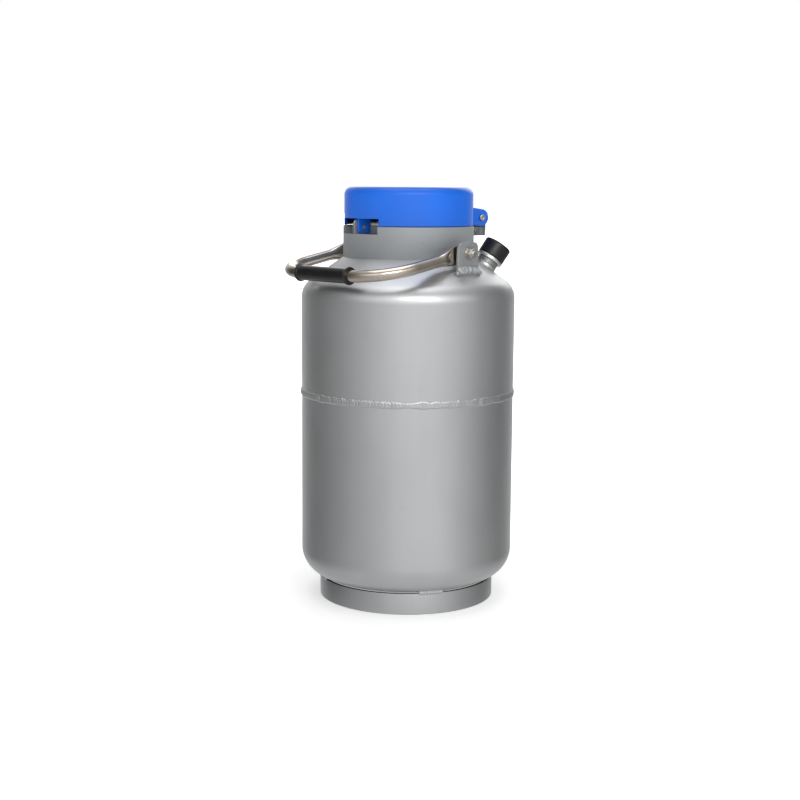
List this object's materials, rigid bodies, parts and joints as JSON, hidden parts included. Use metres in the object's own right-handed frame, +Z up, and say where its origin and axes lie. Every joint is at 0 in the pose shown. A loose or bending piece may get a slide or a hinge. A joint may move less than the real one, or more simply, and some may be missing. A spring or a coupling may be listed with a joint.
{
  "type": "liquid nitrogen dewar",
  "caption": "Cylindrical cryogenic storage dewar: welded silver shell on a foot ring, hinged lockable blue lid, foam neck plug, swinging bail with black grip, capped vacuum port.",
  "frame": {"origin": "centre of the foot ring's bottom plane, on the vessel's axis", "axes": "+Z up along the vessel's axis; the front, with the latch on the left and a handle lug on the right, faces -Y"},
  "size_m": [0.3228, 0.3213, 0.58],
  "materials": {
    "silver_paint": "satin silver paint over aluminium",
    "grey_paint": "matt grey hammered paint",
    "blue_paint": "semi-gloss blue paint",
    "bare_aluminium": "machined, satin",
    "bright_aluminium": "turned, bright",
    "dark_metal": "dark grey paint",
    "stainless": "plain stainless steel",
    "polished_tube": "polished stainless steel",
    "black_grip": "soft black moulded plastic",
    "black_plastic": "moulded, matt",
    "black_rubber": "moulded rubber",
    "white_plastic": "moulded, matt",
    "glass_fibre": "glass fibre and resin tube",
    "insulation": "layered foil and paper",
    "foam": "rigid closed-cell foam"
  },
  "bodies": {
    "vessel": {"outer_shell_lower": "silver_paint", "outer_shell_upper": "silver_paint", "shell_seam_weld": "silver_paint", "foot_ring": "silver_paint", "foot_ring_welds": "silver_paint", "seam_backing_ring": "bare_aluminium", "inner_vessel_lower": "bare_aluminium", "inner_vessel_upper": "bare_aluminium", "inner_seam_weld": "bare_aluminium", "insulation_wrap": "insulation", "adsorbent_pouch": "insulation", "neck_tube": "glass_fibre", "neck_flange": "bare_aluminium", "neck_collar": "grey_paint", "collar_screws": "stainless", "hasp_lug": "grey_paint", "hinge_block": "dark_metal", "hinge_block_screws": "stainless", "hinge_pin": "stainless", "hinge_nut": "stainless", "handle_lug_front": "grey_paint", "handle_lug_rear": "grey_paint", "lug_welds": "grey_paint", "handle_bolts": "stainless", "handle_spacers": "white_plastic", "handle_washers": "stainless", "handle_nuts": "stainless", "port_boss": "silver_paint", "port_boss_weld": "silver_paint", "port_body": "bare_aluminium", "port_ring": "bright_aluminium"},
    "lid": {"lid_shell": "blue_paint", "lid_hinge_ears": "blue_paint", "lid_hasp_tab": "blue_paint", "lid_foam": "foam"},
    "neck_plug": {"plug_cap": "white_plastic", "plug_core": "foam"},
    "handle": {"handle_tube": "polished_tube", "handle_grip": "black_grip"},
    "port_cap": {"port_cap": "black_plastic"},
    "vacuum_plug": {"vacuum_plug": "stainless", "vacuum_plug_oring": "black_rubber"}
  },
  "joints": [
    {"name": "lid_hinge", "type": "hinge", "parent": "vessel", "child": "lid", "pos_m": [0.0983, 0.06883, 0.537], "axis": [-0.5736, 0.8192, 0], "range_deg": [0, 110]},
    {"name": "plug_lift", "type": "slide", "parent": "vessel", "child": "neck_plug", "axis": [0, 0, 1], "range_m": [0, 0.192]},
    {"name": "handle_pivot", "type": "hinge", "parent": "vessel", "child": "handle", "pos_m": [0, 0, 0.492], "axis": [-0.6884, 0.7254, 0], "range_deg": [-3, 204]},
    {"name": "port_cap_pull", "type": "slide", "parent": "vessel", "child": "port_cap", "axis": [0.539, 0.1962, 0.8192], "range_m": [0, 0.03]},
    {"name": "vacuum_plug_lift", "type": "slide", "parent": "vessel", "child": "vacuum_plug", "axis": [0.539, 0.1962, 0.8192], "range_m": [0, 0.006]}
  ],
  "couplings": [
    {"joint": "plug_lift", "follows": "lid_hinge", "m_per_rad": 0.1}
  ]
}
